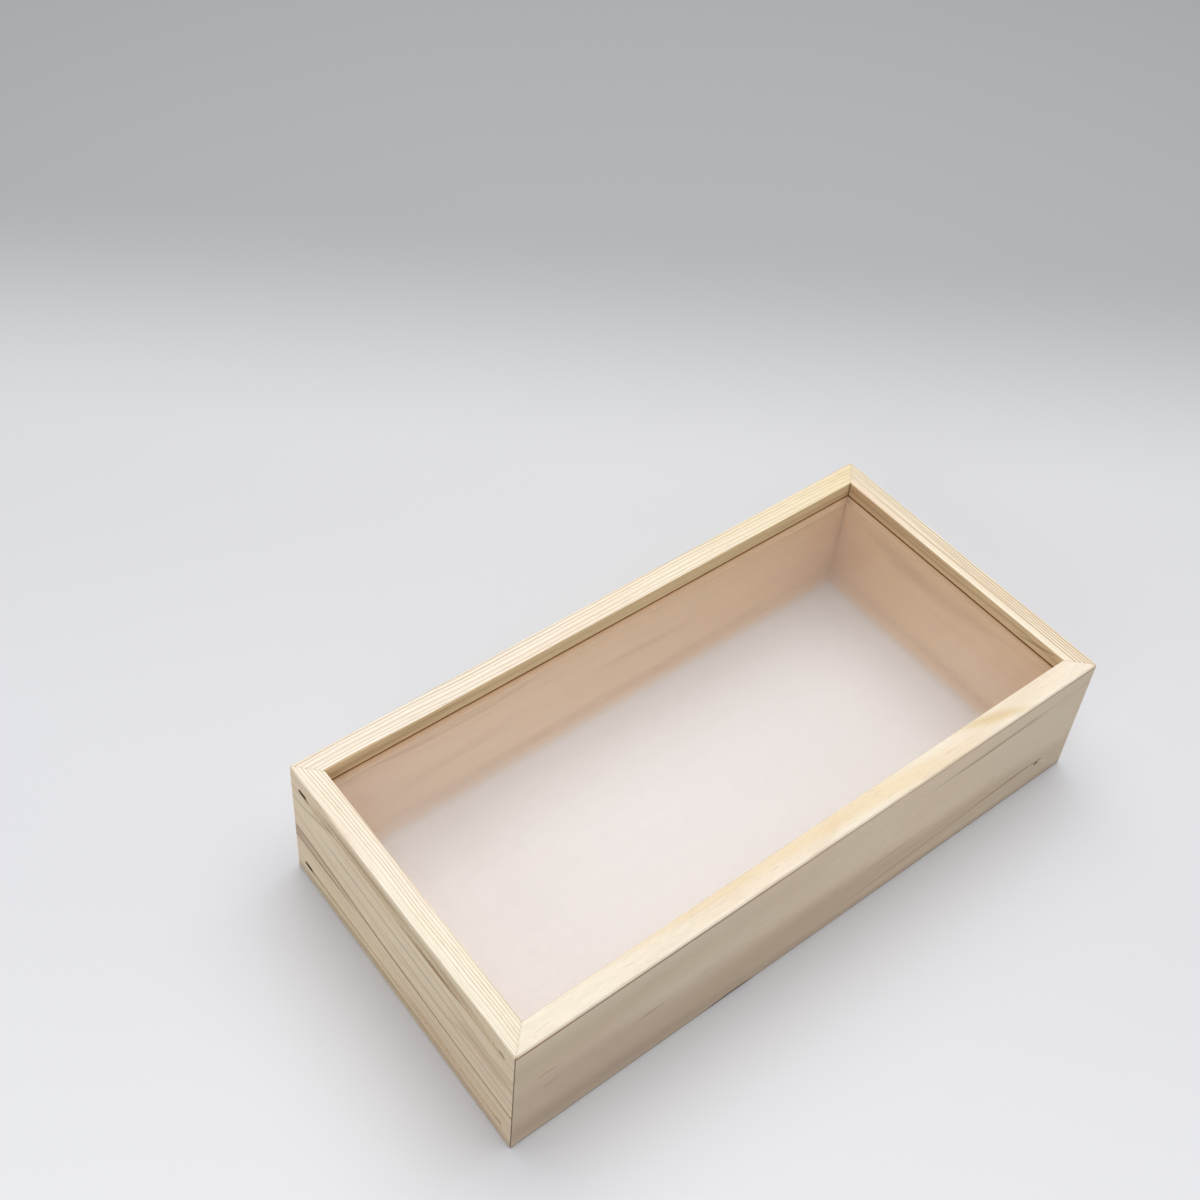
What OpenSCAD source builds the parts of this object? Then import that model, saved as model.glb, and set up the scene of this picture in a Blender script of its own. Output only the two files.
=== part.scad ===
// Double-sided display case for butterflies: a mitred pine frame with a clear pane in each face.
// Each pane runs in a groove round the inside of the frame and is drawn out through a slot
// in the left end board. Lengths are in millimetres.
// Frame: X along the length with the slotted end at -X, Y across, Z up, origin under the centre.

/* [Case] */
// Length over the two end boards
case_l = 300; // [180:1:480]
// Width over the two long boards
case_w = 148; // [90:1:320]
// Height of the boards
case_h = 67; // [45:1:140]

/* [Boards] */
// Thickness of the pine boards
board_t = 10; // [8:0.5:18]
// Rounding of the boards' long edges
arris_r = 0.6; // [0.2:0.1:2]
// Rounding of the case's four upright corners
corner_r = 0.9; // [0.2:0.1:3]

/* [Grooves] */
// Depth of the pane grooves, measured from the boards' inner faces
groove_d = 4; // [2.5:0.5:5]
// Distance from an open face of the case to the middle of its groove
groove_level = 9; // [5:0.5:16]
// Spare height of a groove over its pane and films
groove_play = 0.8; // [0.2:0.1:2]

/* [Panes] */
// Thickness of the clear sheet
pane_t = 2; // [1.5:0.1:4]
// Rounding of a pane's four corners
pane_corner_r = 4; // [1:0.5:12]
// Play between a pane's long edges and the straight part of the slot, on each side
side_play = 0.15; // [0.05:0.05:0.5]
// Play between a pane's inner end and the bottom of the closed end's groove
end_play = 0.5; // [0.2:0.1:2]
// How far a pane's outer end lies inside the slotted face
pane_setback = 0.4; // [0:0.1:2]
// Running gap under a pane where it lies on the floor of its groove
seat_gap = 0.05; // [0.02:0.01:0.1]
// Thickness of the protective film on each face of a pane
film_t = 0.1; // [0.05:0.01:0.15]

/* [Corner pins] */
// Diameter of a headless pin
pin_d = 1; // [0.6:0.1:1.6]
// Length of a pin with its point
pin_l = 18; // [14:1:25]
// Length of the tapered point
pin_point_l = 1.5; // [0.5:0.1:3]
// How far a pin is sunk below the long board's outer face
pin_sunk = 1; // [0.5:0.1:2]
// Pins driven through each corner
pins_per_corner = 3; // [2:1:5]
// Clearance round a pin in its hole
pin_clearance = 0.02; // [0.01:0.01:0.05]

/* [Hidden] */
$fn = 64;

PINE_LONG = [0.96, 0.89, 0.76];
PINE_END = [0.93, 0.84, 0.69];
CLEAR_SHEET = [0.85, 0.92, 0.95, 0.35];
FILM = [0.93, 0.90, 0.90, 0.25];
STEEL = [0.62, 0.63, 0.65];

// Cuts run this far past the faces that they open
overcut = 1;

// The groove just holds a pane with a film on both faces, and the spare height over it
stack_t = pane_t + 2 * film_t;
groove_h = stack_t + groove_play;

// Grooves lie as far from the bottom face as from the top face
bottom_z = groove_level;
top_z = case_h - groove_level;

// Opening inside the boards, and the reach of the grooves across and along the case
window_w = case_w - 2 * board_t;
slot_w = window_w + 2 * groove_d;
groove_end_x = case_l / 2 - board_t + groove_d;

// A pane passes the slot beside its half-round ends, so it is narrower than the slot by them
pane_w = slot_w - groove_h - 2 * side_play;
pane_x0 = -case_l / 2 + pane_setback;
pane_l = groove_end_x - end_play - pane_x0;

// Pins lie in the middle of the end boards' thickness, spread evenly between the two grooves
pin_x = case_l / 2 - board_t / 2;
pin_y = case_w / 2 - pin_sunk;
pin_pitch = (top_z - bottom_z) / (pins_per_corner + 1);

// Rectangle from the origin to [w, h] with its corners rounded
module eased_rectangle(w, h, r) {
    translate([r, 0]) square([w - 2 * r, h]);
    translate([0, r]) square([w, h - 2 * r]);
    for (x = [r, w - r], y = [r, h - r])
        translate([x, y]) circle(r);
}

// Board along X with its outer face on y = 0, its inner face at y = board_t and both ends
// mitred. The section with eased edges is swept along the length and trimmed by the mitred plan.
module mitred_board(length) {
    intersection() {
        translate([-length / 2, 0, 0])
            rotate([90, 0, 90])
                linear_extrude(length) eased_rectangle(board_t, case_h, arris_r);
        linear_extrude(case_h)
            polygon([[-length / 2, 0], [length / 2, 0],
                     [length / 2 - board_t, board_t], [-length / 2 + board_t, board_t]]);
    }
}

// Column of the case's outline, which rounds the upright corners where two mitres meet
module outline_column() {
    translate([-case_l / 2, -case_w / 2, 0])
        linear_extrude(case_h) eased_rectangle(case_l, case_w, corner_r);
}

// Square-bottomed grooves for both panes, cut into the inner face of a board that lies along X
module groove_cuts(length) {
    for (z = [bottom_z, top_z])
        translate([-length / 2, board_t - groove_d, z - groove_h / 2])
            cube([length, groove_d + overcut, groove_h]);
}

// Slot with half-round ends right through a board that lies along X, at height z
module slot_cut(z) {
    straight = slot_w - groove_h;
    translate([0, -overcut, z])
        rotate([-90, 0, 0])
            linear_extrude(board_t + 2 * overcut) {
                translate([-straight / 2, -groove_h / 2]) square([straight, groove_h]);
                for (side = [-1, 1])
                    translate([side * straight / 2, 0]) circle(groove_h / 2);
            }
}

// One headless pin along -Y from the origin, with a tapered point; grow widens it to its hole
module pin(grow = 0) {
    shank = pin_l - pin_point_l;
    rotate([90, 0, 0]) {
        cylinder(h = shank, d = pin_d + 2 * grow);
        translate([0, 0, shank])
            cylinder(h = pin_point_l, d1 = pin_d + 2 * grow, d2 = pin_d / 4 + 2 * grow);
    }
}

// Row of pins in the corner on side sx of X and sy of Y, driven in from the long board's face
module corner_pins(sx, sy, grow = 0) {
    for (i = [1 : pins_per_corner])
        translate([sx * pin_x, sy * pin_y, bottom_z + i * pin_pitch])
            rotate([0, 0, sy > 0 ? 0 : 180]) pin(grow);
}

module all_pin_holes() {
    for (sx = [-1, 1], sy = [-1, 1])
        corner_pins(sx, sy, pin_clearance);
}

// Long board on side sy of the case
module long_board(sy) {
    color(PINE_LONG)
        difference() {
            intersection() {
                rotate([0, 0, sy < 0 ? 0 : 180])
                    translate([0, -case_w / 2, 0])
                        difference() {
                            mitred_board(case_l);
                            groove_cuts(case_l);
                        }
                outline_column();
            }
            all_pin_holes();
        }
}

// Board across the end on side sx of the case, cut by its children, which are drawn
// as for a board along X
module end_board(sx) {
    color(PINE_END)
        difference() {
            intersection() {
                rotate([0, 0, sx * 90])
                    translate([0, -case_l / 2, 0])
                        difference() {
                            mitred_board(case_w);
                            children();
                        }
                outline_column();
            }
            all_pin_holes();
        }
}

module front_board() long_board(-1);

module back_board() long_board(1);

module slotted_end_board() {
    end_board(-1) {
        slot_cut(bottom_z);
        slot_cut(top_z);
    }
}

module closed_end_board() {
    end_board(1) groove_cuts(case_w);
}

// Sheet with a pane's outline, its underside at height z above the floor of the groove at level
module sheet(level, z, t) {
    translate([pane_x0, -pane_w / 2, level - groove_h / 2 + seat_gap + z])
        linear_extrude(t) eased_rectangle(pane_l, pane_w, pane_corner_r);
}

// Clear sheets, each between its two films
module top_pane() color(CLEAR_SHEET) sheet(top_z, film_t, pane_t);

module bottom_pane() color(CLEAR_SHEET) sheet(bottom_z, film_t, pane_t);

// Films on the faces that look out of the case and on those that look into it
module top_pane_outer_film() color(FILM) sheet(top_z, film_t + pane_t, film_t);

module top_pane_inner_film() color(FILM) sheet(top_z, 0, film_t);

module bottom_pane_outer_film() color(FILM) sheet(bottom_z, 0, film_t);

module bottom_pane_inner_film() color(FILM) sheet(bottom_z, film_t + pane_t, film_t);

module front_left_pins() color(STEEL) corner_pins(-1, -1);

module front_right_pins() color(STEEL) corner_pins(1, -1);

module back_left_pins() color(STEEL) corner_pins(-1, 1);

module back_right_pins() color(STEEL) corner_pins(1, 1);

front_board();
back_board();
slotted_end_board();
closed_end_board();
top_pane();
top_pane_outer_film();
top_pane_inner_film();
bottom_pane();
bottom_pane_outer_film();
bottom_pane_inner_film();
front_left_pins();
front_right_pins();
back_left_pins();
back_right_pins();
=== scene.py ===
# Butterfly display case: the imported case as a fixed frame, finished in pine, clear sheet and film.
import math

import bmesh
import bpy
import numpy as np
from mathutils import Matrix, Vector


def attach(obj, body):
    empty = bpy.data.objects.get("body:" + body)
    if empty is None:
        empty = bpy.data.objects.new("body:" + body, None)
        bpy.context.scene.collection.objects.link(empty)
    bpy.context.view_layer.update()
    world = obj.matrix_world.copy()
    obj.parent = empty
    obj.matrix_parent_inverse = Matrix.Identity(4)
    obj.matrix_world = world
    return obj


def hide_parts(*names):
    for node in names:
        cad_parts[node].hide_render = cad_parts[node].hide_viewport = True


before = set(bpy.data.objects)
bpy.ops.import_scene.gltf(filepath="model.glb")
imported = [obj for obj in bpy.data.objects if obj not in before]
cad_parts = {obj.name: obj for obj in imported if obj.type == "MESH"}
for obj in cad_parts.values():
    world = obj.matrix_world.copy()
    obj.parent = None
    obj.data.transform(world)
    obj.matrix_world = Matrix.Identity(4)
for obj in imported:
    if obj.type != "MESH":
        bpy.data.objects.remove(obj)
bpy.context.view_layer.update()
scene = bpy.context.scene
mm = 0.001


def linearColour(hexText):
    # sRGB channel c to linear: c / 12.92 below 0.04045, else ((c + 0.055) / 1.055) to the power 2.4
    channels = [int(hexText[i : i + 2], 16) / 255 for i in (1, 3, 5)]
    return [c / 12.92 if c <= 0.04045 else ((c + 0.055) / 1.055) ** 2.4 for c in channels] + [1.0]


def addNode(tree, kind, inputs=None, **settings):
    # One shader node with its settings. An input is a plain value, a socket, or a node, whose first output
    # feeds it.
    node = tree.nodes.new("ShaderNode" + kind)
    for name, value in settings.items():
        setattr(node, name, value)
    for key, value in (inputs or {}).items():
        source = value.outputs[0] if isinstance(value, bpy.types.Node) else value
        if isinstance(source, bpy.types.NodeSocket):
            tree.links.new(source, node.inputs[key])
        else:
            node.inputs[key].default_value = value
    return node


def newMaterial(name):
    # An empty node material
    material = bpy.data.materials.new(name)
    material.use_nodes = True
    material.node_tree.nodes.clear()
    return material, material.node_tree


def giveMaterial(item, material):
    # The object's only material slot holds this material
    item.data.materials.clear()
    item.data.materials.append(material)


def fillRamp(ramp, interpolation, stops):
    # (place, colour) in order; the first and last, at 0 and 1, are the ramp's own two elements
    ramp.interpolation = interpolation
    for at, colour in stops[1:-1]:
        ramp.elements.new(at).color = colour
    ramp.elements[0].color, ramp.elements[-1].color = stops[0][1], stops[-1][1]


# Camera: where the photograph was taken from, worked out from the case's own edges
view = {
    "place": (-328.7 * mm, -293.6 * mm, 614.0 * mm),
    "right": (0.79442, -0.60520, 0.05129),
    "up": (0.38948, 0.57240, 0.72157),
    "focalPixels": 1731.8,
    "axisPixels": (571.75, 466.8),
    "imagePixels": 1200,
    "sensor": 36.0,
}


def makeCamera():
    # Lens = sensor x focal pixels / image pixels; shift = how far the axis is from the image's middle
    data = bpy.data.cameras.new("camera")
    data.sensor_width = view["sensor"]
    data.lens = view["sensor"] * view["focalPixels"] / view["imagePixels"]
    data.shift_x = 0.5 - view["axisPixels"][0] / view["imagePixels"]
    data.shift_y = view["axisPixels"][1] / view["imagePixels"] - 0.5
    data.clip_start = 0.01
    camera = bpy.data.objects.new("camera", data)
    scene.collection.objects.link(camera)
    right, up = Vector(view["right"]), Vector(view["up"])
    turned = Matrix((right, up, right.cross(up))).transposed().to_4x4()
    camera.matrix_world = Matrix.Translation(view["place"]) @ turned
    scene.camera = camera


makeCamera()
print("camera set")


# Studio: a pale sweep of matt board under one broad soft light, a little behind the case, and a weaker one on
# its left that faces down. Metres and watts.
studio = {
    "floorSize": 40.0,
    # floor tones: painted shade, paler near the camera and darker far away
    "floorPaintedFalloff": ((-0.22, "#E1E1E3"), (-0.02, "#D8D8DB"), (0.20, "#D2D2D4"), (0.42, "#A9AAAA")),
    "awayFromCamera": (0.644, 0.765, 0),
    "mottleScale": 3.0,
    "mottle": 0.015,
    "floorRoughness": 0.7,
    "floorSpecular": 0.2,
    "worldColour": "#F2F4F8",
    "worldStrength": 0.46,
    "clearBounces": 32,  # a ray down through both panes meets twelve clear faces
}
lights = {
    "overhead": {
        "place": (0.22, 0.20, 1.30),
        "aim": (0, 0, 0),
        "size": (1.5, 1.3),
        "power": 16.4,
        "colour": "#FFFFFF",
    },
    "leftFill": {
        "place": (-1.3, -0.6, 0.9),
        "aim": (-1.3, -0.6, 0),
        "size": (0.9, 0.9),
        "power": 6.5,
        "colour": "#FAFBFF",
    },
}


def makeStudio():
    # Floor: one square at z = 0, with painted shade: its paleness falls in smooth steps with distance away
    # from the camera
    half = studio["floorSize"] / 2
    mesh = bpy.data.meshes.new("floor")
    corners = [(-half, -half, 0), (half, -half, 0), (half, half, 0), (-half, half, 0)]
    mesh.from_pydata(corners, [], [(0, 1, 2, 3)])
    floor = bpy.data.objects.new("floor", mesh)
    scene.collection.objects.link(floor)
    material, tree = newMaterial("studio_board_painted_falloff")
    place = addNode(tree, "TexCoord").outputs["Object"]
    distance = addNode(tree, "VectorMath", {0: place, 1: studio["awayFromCamera"]}, operation="DOT_PRODUCT")
    near, far = studio["floorPaintedFalloff"][0][0], studio["floorPaintedFalloff"][-1][0]
    share = addNode(tree, "MapRange", {"Value": distance.outputs["Value"], "From Min": near, "From Max": far})
    colour = addNode(tree, "ValToRGB", {"Fac": share})
    tones = [((at - near) / (far - near), linearColour(tone)) for at, tone in studio["floorPaintedFalloff"]]
    fillRamp(colour.color_ramp, "EASE", tones)
    mottle = addNode(tree, "TexNoise", {"Vector": place, "Scale": studio["mottleScale"], "Detail": 3.0})
    low, high = 1 - studio["mottle"], 1 + studio["mottle"]
    level = addNode(tree, "MapRange", {"Value": mottle, "To Min": low, "To Max": high})
    shade = addNode(tree, "VectorMath", {0: colour, "Scale": level}, operation="SCALE")
    surface = addNode(tree, "BsdfPrincipled", {
        "Base Color": shade,
        "Roughness": studio["floorRoughness"],
        "Specular IOR Level": studio["floorSpecular"],
    })
    addNode(tree, "OutputMaterial", {"Surface": surface})
    giveMaterial(floor, material)

    world = bpy.data.worlds.new("studio")
    scene.world = world
    world.use_nodes = True
    background = world.node_tree.nodes["Background"]
    background.inputs["Color"].default_value = linearColour(studio["worldColour"])
    background.inputs["Strength"].default_value = studio["worldStrength"]
    for name, light in lights.items():
        data = bpy.data.lights.new(name, "AREA")
        data.shape = "RECTANGLE"
        data.size, data.size_y = light["size"]
        data.energy = light["power"]
        data.color = linearColour(light["colour"])[:3]
        lamp = bpy.data.objects.new(name, data)
        scene.collection.objects.link(lamp)
        towards = Vector(light["aim"]) - Vector(light["place"])
        turned = towards.to_track_quat("-Z", "Y").to_matrix().to_4x4()
        lamp.matrix_world = Matrix.Translation(light["place"]) @ turned
    scene.view_settings.view_transform = "Standard"
    scene.cycles.transparent_max_bounces = studio["clearBounces"]


makeStudio()
print("studio lit")


# Shapes. Lengths here are in mm; solid() turns them to metres.
def wander(along, seed, longest, height, terms=5):
    # Sum of sines: height / k x sin(2 pi k along / longest + phase), k = 1, 2, 3 ...
    phases = np.random.default_rng(seed).uniform(0, 2 * math.pi, terms)
    waves = [np.sin(2 * math.pi * (k + 1) * along / longest + phases[k]) / (k + 1) for k in range(terms)]
    return height * np.sum(waves, axis=0)


def solid(name, loops):
    # A closed loop of points carried through rows: quads between rows, one flat cap at each end
    rows, count = loops.shape[:2]
    mesh = bpy.data.meshes.new(name)
    start = (np.arange(rows - 1)[:, None] * count + np.arange(count)[None, :]).ravel()
    after = (np.arange(rows - 1)[:, None] * count + (np.arange(count)[None, :] + 1) % count).ravel()
    quads = np.stack([start, after, after + count, start + count], axis=1).tolist()
    caps = [list(range(count))[::-1], list(range((rows - 1) * count, rows * count))]
    mesh.from_pydata((loops.reshape(-1, 3) * mm).tolist(), [], quads + caps)
    item = bpy.data.objects.new(name, mesh)
    scene.collection.objects.link(item)
    faceOut(mesh)
    return item


def faceOut(mesh):
    # Normals outward, doubles merged, smooth faces with crisp edges above 30 degrees
    shape = bmesh.new()
    shape.from_mesh(mesh)
    bmesh.ops.remove_doubles(shape, verts=shape.verts, dist=1e-7)
    bmesh.ops.recalc_face_normals(shape, faces=shape.faces)
    shape.to_mesh(mesh)
    shape.free()
    mesh.shade_smooth()
    mesh.set_sharp_from_angle(angle=math.radians(30))


def arc(middle, radius, first, last, steps):
    # Points at middle + radius x (cos, sin) between two angles in degrees
    turn = np.radians(np.linspace(first, last, steps))
    return np.stack([middle[0] + radius * np.cos(turn), middle[1] + radius * np.sin(turn)], axis=1)


nearEnd = 0.08  # mm from a line's ends to its outer points, which hold the arris's shading


def line(first, last, step):
    # Evenly spaced points strictly between two points, the outer ones moved to nearEnd from them
    first, last = np.array(first, float), np.array(last, float)
    length = np.linalg.norm(last - first)
    count = max(int(round(length / step)), 1)
    share = np.linspace(0, 1, count + 1)
    share[0], share[-1] = nearEnd / length, 1 - nearEnd / length
    return first + (last - first) * share[:, None]


case = {
    "length": 300.0,
    "width": 148.0,
    "height": 67.0,
    "board": 10.0,
    "arris": 0.6,
    "innerArris": 0.2,
    "corner": 0.9,
    "grooveDepth": 4.0,
    "grooveHeight": 3.0,
    "grooveMiddles": (9.0, 58.0),
    "slotHalf": 68.0,
    "seamOpen": 0.13,
    "seamReach": 0.30,
    "wear": 0.22,
    "wearWaves": ((190.0, 0.35), (31.0, 0.2)),  # longest wave, height
    "innerWear": 0.4,
    "tipWear": 1.2,
    "tipReach": 2.2,
    "grooveEase": 0.12,
    "faceStep": 2.5,
    "edgeStep": 1.5,
    "endRows": (0, 0.06, 0.15, 0.3, 0.5, 0.75, 1.1, 1.6, 2.4, 3.5),  # they stand for the last four even rows
}


def boardSection():
    # One turn round the board's section in (depth a, height h), clockwise from the outer face's foot
    thick, tall, r, q = case["board"], case["height"], case["arris"], case["innerArris"]
    wide, fine = case["faceStep"], case["edgeStep"]
    outer = [arc((r, r), r, 270, 180, 6), line((0, r), (0, tall - r), wide)]
    top = [arc((r, tall - r), r, 180, 90, 6), line((r, tall), (thick - q, tall), fine)]
    inner = [arc((thick - q, tall - q), q, 90, 0, 6)]
    level = tall - q
    half, floor, ease = case["grooveHeight"] / 2, thick - case["grooveDepth"], case["grooveEase"]
    for middle in reversed(case["grooveMiddles"]):
        upper, lower = middle + half, middle - half
        inner.append(line((thick, level), (thick, upper + ease), wide))
        inner.append(np.array([(thick, upper + ease), (thick - ease, upper), (floor, upper), (floor, lower)]))
        inner.append(np.array([(thick - ease, lower), (thick, lower - ease)]))
        level = lower - ease
    inner.append(line((thick, level), (thick, r), wide))
    under = [arc((thick - r, r), r, 0, -90, 6), line((thick - r, 0), (r, 0), fine)]
    return np.concatenate(outer + top + inner + under)


def mitredBoard(name, board):
    # Section carried along l, each point's row at l = u x (half length - max(a, c)), so both ends are mitres.
    # Near the case's upright corners a grows to r - sqrt(r^2 - (r - e)^2), e being the distance from the end.
    section = boardSection()
    a0, h0 = section[:, 0], section[:, 1]
    half = (case["length"] if board["turn"] % 180 == 0 else case["width"]) / 2
    ends = np.array(case["endRows"]) / half
    u = np.concatenate([ends - 1, np.linspace(-1, 1, int(2 * half / case["edgeStep"]))[4:-4], 1 - ends[::-1]])
    r = case["corner"]
    tip = r * (1 - math.sqrt(0.5))
    e = half - np.abs(u)[:, None] * (half - np.maximum(a0, tip)[None, :])
    side = np.sign(u)[:, None]
    a = np.maximum(a0[None, :], r - np.sqrt(np.maximum(r**2 - np.maximum(r - e, 0) ** 2, 0)))
    h = np.broadcast_to(h0, a.shape).copy()
    along = side * (half - e)

    # Worn arrises and the V at the mitre, both pushed in along the section's own normal
    step = np.roll(section, -1, axis=0) - np.roll(section, 1, axis=0)
    normal = np.stack([-step[:, 1], step[:, 0]], axis=1) / np.linalg.norm(step, axis=1)[:, None]
    onArris = np.clip(np.abs(normal[:, 0] * normal[:, 1]) * 2, 0, 1) * ((h0 < 1) | (h0 > case["height"] - 1))
    onArris = onArris * np.where((a0 > case["board"] - 1) & (h0 > case["height"] - 1), case["innerWear"], 1.0)
    seed = int(board["seed"])
    worn = 0.5 + sum(wander(along[:, :1], seed + i, *wave) for i, wave in enumerate(case["wearWaves"]))
    nearTip = np.exp(-(e / case["tipReach"]) ** 2)
    push = onArris * case["wear"] * (np.clip(worn, 0, 1) + case["tipWear"] * nearTip)
    toMitre = (1 - np.abs(u))[:, None] * (half - np.maximum(a0, tip)[None, :])
    push = push + case["seamOpen"] * np.clip(1 - toMitre / case["seamReach"], 0, 1)
    a = a - normal[None, :, 0] * push
    h = h - normal[None, :, 1] * push
    e = np.maximum(e, a)
    along = side * (half - e)

    turn = math.radians(-board["turn"])
    depth = a - board["shift"]
    x = along * math.cos(turn) - depth * math.sin(turn)
    y = along * math.sin(turn) + depth * math.cos(turn)
    return solid(name, np.stack([x, y, h], axis=2))


def carve(item, cutter):
    # Boolean difference, applied; the cutter goes
    cut = item.modifiers.new("cut", "BOOLEAN")
    cut.object, cut.operation, cut.solver = cutter, "DIFFERENCE", "EXACT"
    bpy.context.view_layer.update()
    shaped = bpy.data.meshes.new_from_object(item.evaluated_get(bpy.context.evaluated_depsgraph_get()))
    item.modifiers.clear()
    old = item.data
    item.data = shaped
    bpy.data.meshes.remove(old)
    bpy.data.objects.remove(cutter)
    faceOut(item.data)


slotCut = {
    "rows": (-2.0, 0.0, 0.2, 0.45, 11.0),  # how far in from the end board's outer face
    "flare": (0.45, 0.25, 0.08, 0.0, 0.0),
    "ragged": (23.0, 0.03),  # longest wave, height
    "step": 2.0,
    "arcSteps": 13,
}


def slotCutter(middle, seed):
    # Stadium with ends of radius half its height, its edges as a router leaves them, flared at the mouth
    half, radius = case["slotHalf"], case["grooveHeight"] / 2
    span = half - radius
    right = arc((span, middle), radius, -90, 90, slotCut["arcSteps"])
    left = arc((-span, middle), radius, 90, 270, slotCut["arcSteps"])
    upper = line((span, middle + radius), (-span, middle + radius), slotCut["step"])
    lower = line((-span, middle - radius), (span, middle - radius), slotCut["step"])
    loop = np.concatenate([right, upper, left, lower])
    ragged = wander(loop[:, 0], seed, *slotCut["ragged"]) * np.sign(loop[:, 1] - middle)
    x = np.array(slotCut["rows"]) - case["length"] / 2
    flare = np.array(slotCut["flare"])
    away = np.stack([np.clip(loop[:, 0], -span, span), np.full(len(loop), middle)], axis=1)
    outward = (loop - away) / radius
    grown = loop[None] + outward[None] * flare[:, None, None]
    grown[:, :, 1] += ragged[None, :]
    depth = np.broadcast_to(x[:, None], grown.shape[:2])
    return solid("cutter", np.stack([depth, grown[:, :, 0], grown[:, :, 1]], axis=2))


def pitCutter(pit):
    # Uneven ellipsoid: rings of radius sin t at cos t along its length, t from tip to tip, leaned about y
    t = np.linspace(0.12, math.pi - 0.12, 15)[:, None]
    turn = np.linspace(0, 2 * math.pi, 29)[None, :-1]
    wobble = 1 + wander(turn * 10, pit["seed"], 20 * math.pi, 0.12, 3)
    wobble = wobble + wander(t * 10, pit["seed"] + 1, 31.0, 0.15, 3)
    x = pit["radii"][0] * np.cos(t) + 0 * turn
    y = pit["radii"][1] * np.sin(t) * np.cos(turn) * wobble
    z = pit["radii"][2] * np.sin(t) * np.sin(turn) * wobble
    lean = math.radians(pit["lean"])
    points = [x * math.cos(lean) - z * math.sin(lean), y, x * math.sin(lean) + z * math.cos(lean)]
    return solid("cutter", np.stack(points, axis=2) + np.array(pit["middle"]))


def plate(name, low, high, corner, ease, cut=None):
    # Rounded rectangle carried up through four rows: edge eased by ease, then straight, then eased again
    (x0, y0, z0), (x1, y1, z1) = low, high
    middles = [(x1 - corner, y1 - corner), (x0 + corner, y1 - corner), (x0 + corner, y0 + corner)]
    middles.append((x1 - corner, y0 + corner))
    rounds = [arc(middle, corner, 90 * i, 90 * i + 90, 9) for i, middle in enumerate(middles)]
    pieces = []
    for i in range(4):
        pieces += [rounds[i], line(rounds[i][-1], rounds[(i + 1) % 4][0], 4.0)]
    loop = np.concatenate(pieces)
    inward = (np.clip(loop, (x0 + corner, y0 + corner), (x1 - corner, y1 - corner)) - loop) / corner
    if cut is not None:  # seed, longest wave and height of a hand-cut edge's waver
        loop = loop + inward * np.abs(wander(loop[:, :1] + loop[:, 1:] * 1.7, *cut))
    rows = [(ease, z0), (0, z0 + ease), (0, z1 - ease), (ease, z1)]
    loops = [np.column_stack([loop + inward * back, np.full(len(loop), z)]) for back, z in rows]
    return solid(name, np.stack(loops))


# Planed and sanded pine, left bare. Late wood is thin tan lines in cream early wood; sanding leaves a matt,
# slightly silky surface with the fibres just felt. Each board is cut from its own place in a trunk: turn and
# shift bring it to l = along the board, a = depth from its outer face, h = height, all in mm. cream is its
# early wood when sanded, ringGap the rings' width, heart the tree's middle in (a, h), lean how that drifts
# along l, and line how strong the late wood is at the outer and at the inner face. A mark is a streak of its
# own, unless its comment calls it painted shade or painted light: face, colour, softness and rows of
# (l, middle, half width, strength); middle is h, or on top a.
pineColours = {
    # side: painted shade on faces turned from the light; inside and lip: painted tan shade of bounced light
    "side": "#ECD9BA",
    "inside": "#EAC698",
    "lip": "#ECD2AA",
    "late": "#B08A52",
    "pink": "#E6C9AE",
    "olive": "#DCD0A6",
}
darkLine, greyLine, oliveTint, warmTint = "#865C2C", "#8A8270", "#9A8450", "#A8713C"
# First and third colours: painted shade, at the feet and in the grooves, and dimming the front face
shadeBrown, glue, shadeGrey, topLine = "#50341A", "#4A2E16", "#8C8284", "#A98A5C"
lateWood = {
    "bend": 6.0,  # mm that slow noise pushes the rings about
    "uneven": 0.9,  # of a ring
    "strength": (0.55, 1.0),  # from ring to ring
    "fade": (1.0, 4.5),  # mm of depth over which a weaker outer line reaches the inner one's strength
    "stops": ((0, 0.1), (0.10, 0.0), (0.48, 0.08), (0.68, 0.35), (0.82, 0.95), (0.92, 1.0), (1, 0.1)),
}
# Noise: scales in 1 / mm along l, a and h, the seed's share of each offset, detail, roughness
grain = {
    "bend": ((0.009, 0.02, 0.02), (1, 1, 1), 3.0, 0.4),
    "fibre": ((0.025, 1.6, 1.6), (2, 1, 3), 4.0, 0.62),  # streaks about 0.5 mm wide and 40 mm long
    "cutEnd": ((0.16, 2.3, 2.3), (4, 1, 2), 3.0, 0.6),  # cut fibre ends, about 0.4 mm wide and 6 mm long
    "duct": ((0.16, 2.6, 2.6), (1, 3, 2), 1.0, 0.5),  # cut resin ducts, about 0.25 mm wide and 5 mm long
    "hue": ((0.012, 0.09, 0.05), (5, 1, 1), 2.0, 0.5),  # slow changes of hue, tens of mm across
}
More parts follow.
